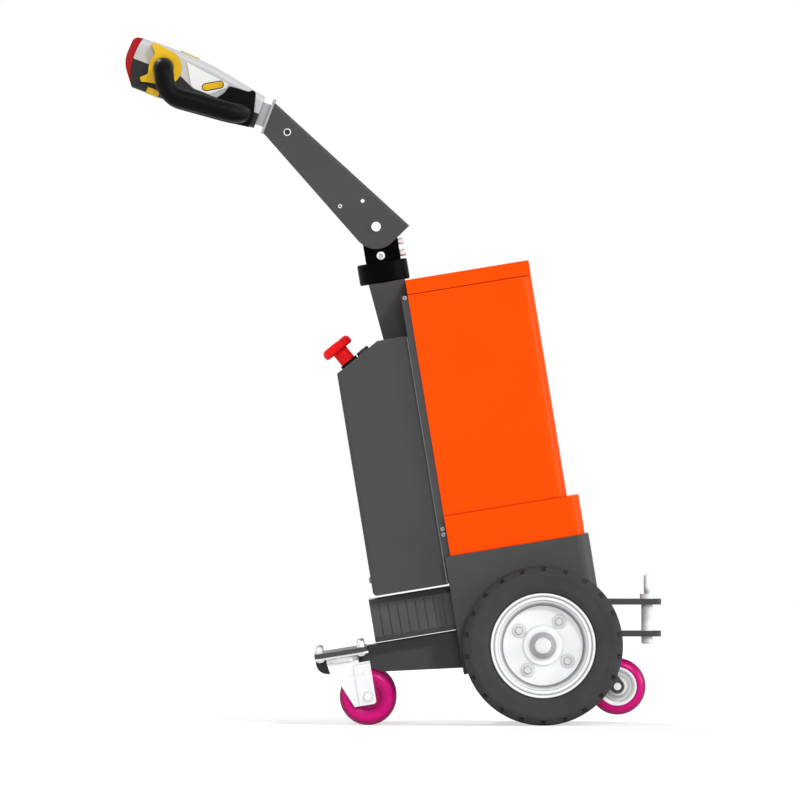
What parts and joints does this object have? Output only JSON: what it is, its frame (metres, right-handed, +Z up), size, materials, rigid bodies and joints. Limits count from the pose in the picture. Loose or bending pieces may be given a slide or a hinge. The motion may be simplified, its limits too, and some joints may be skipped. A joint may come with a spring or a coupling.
{
  "type": "electric tow tractor",
  "caption": "Pedestrian electric tow tractor: leaning battery body on two drive wheels and rear casters, pivoting tiller with loop grips, tow jaw with a drop pin.",
  "frame": {"origin": "on the floor under the middle of the overall length and width", "axes": "+X towards the tow jaw, +Y to the left, +Z up"},
  "size_m": [0.942, 0.56, 1.207],
  "materials": {
    "chassis_grey": "satin dark grey paint on folded steel",
    "cover_orange": "gloss orange paint",
    "cast_grey": "dark cast housing",
    "tyre_rubber": "dark grey rubber",
    "zinc": "bright zinc plate",
    "wheel_magenta": "cast polyurethane",
    "hub_white": "pale nylon",
    "black_steel": "satin black",
    "black_plastic": "grained black plastic",
    "dark_plastic": "dark grey moulded plastic",
    "silver_plastic": "silver moulded plastic",
    "yellow_plastic": "yellow moulded plastic",
    "red_plastic": "red moulded plastic",
    "box_grey": "dark grey coated cover",
    "battery_black": "black battery cases",
    "charger_grey": "dark anodised finned case"
  },
  "bodies": {
    "chassis": {"chassis_shell": "chassis_grey", "transaxle": "cast_grey", "battery_skirt": "cover_orange", "battery_cover": "cover_orange", "battery_lid": "cover_orange", "battery_pack": "battery_black", "mast": "chassis_grey", "control_box": "box_grey", "emergency_stop_base": "black_plastic", "emergency_stop_knob": "red_plastic", "key_switch": "black_plastic", "charger": "charger_grey", "caster_frame": "chassis_grey", "tip_wheel_fork": "chassis_grey", "tip_wheel_axle": "zinc", "tow_jaw": "chassis_grey", "swivel_collar": "black_plastic", "caster_plate_left": "zinc", "caster_plate_right": "zinc"},
    "drive_wheel_left": {"drive_tyre_left": "tyre_rubber", "drive_rim_left": "zinc"},
    "drive_wheel_right": {"drive_tyre_right": "tyre_rubber", "drive_rim_right": "zinc"},
    "caster_swivel_left": {"caster_fork_left": "zinc", "caster_axle_left": "zinc"},
    "caster_swivel_right": {"caster_fork_right": "zinc", "caster_axle_right": "zinc"},
    "caster_roller_left": {"caster_wheel_left": "wheel_magenta"},
    "caster_roller_right": {"caster_wheel_right": "wheel_magenta"},
    "tip_wheel": {"tip_wheel_hub": "hub_white", "tip_wheel_tread": "wheel_magenta"},
    "drop_pin": {"tow_pin": "zinc", "pull_ring": "zinc"},
    "tiller_swivel": {"tiller_bracket": "black_steel"},
    "tiller": {"tiller_arm": "chassis_grey", "tiller_pivot_bolt": "zinc", "head_flange": "zinc", "head_upper_shell": "silver_plastic", "head_lower_shell": "dark_plastic", "belly_button": "red_plastic", "grip_left": "black_plastic", "grip_right": "black_plastic", "thumb_lever_left": "yellow_plastic", "thumb_lever_right": "yellow_plastic", "head_buttons": "yellow_plastic"}
  },
  "joints": [
    {"name": "drive_spin_left", "type": "hinge", "parent": "chassis", "child": "drive_wheel_left", "pos_m": [0.262, 0.2375, 0.14], "axis": [0, 1, 0], "continuous": true},
    {"name": "drive_spin_right", "type": "hinge", "parent": "chassis", "child": "drive_wheel_right", "pos_m": [0.262, -0.2375, 0.14], "axis": [0, 1, 0], "continuous": true},
    {"name": "caster_turn_left", "type": "hinge", "parent": "chassis", "child": "caster_swivel_left", "pos_m": [-0.09036, 0.19, 0.12283], "axis": [-0.1616, 0, 0.9869], "continuous": true},
    {"name": "caster_spin_left", "type": "hinge", "parent": "caster_swivel_left", "child": "caster_roller_left", "pos_m": [-0.04398, 0.19, 0.05], "axis": [0, 1, 0], "continuous": true},
    {"name": "caster_turn_right", "type": "hinge", "parent": "chassis", "child": "caster_swivel_right", "pos_m": [-0.09036, -0.19, 0.12283], "axis": [-0.1616, 0, 0.9869], "continuous": true},
    {"name": "caster_spin_right", "type": "hinge", "parent": "caster_swivel_right", "child": "caster_roller_right", "pos_m": [-0.04398, -0.19, 0.05], "axis": [0, 1, 0], "continuous": true},
    {"name": "tip_wheel_spin", "type": "hinge", "parent": "chassis", "child": "tip_wheel", "pos_m": [0.39436, 0, 0.06561], "axis": [0, 1, 0], "continuous": true},
    {"name": "pin_lift", "type": "slide", "parent": "chassis", "child": "drop_pin", "axis": [0, 0, 1], "range_m": [0, 0.072]},
    {"name": "tiller_turn", "type": "hinge", "parent": "chassis", "child": "tiller_swivel", "pos_m": [-0.01423, 0, 0.77673], "axis": [-0.1616, 0, 0.9869], "range_deg": [-80, 80]},
    {"name": "tiller_pitch", "type": "hinge", "parent": "tiller_swivel", "child": "tiller", "pos_m": [-0.03023, 0, 0.87443], "axis": [0, 1, 0], "range_deg": [-45, 20]}
  ]
}
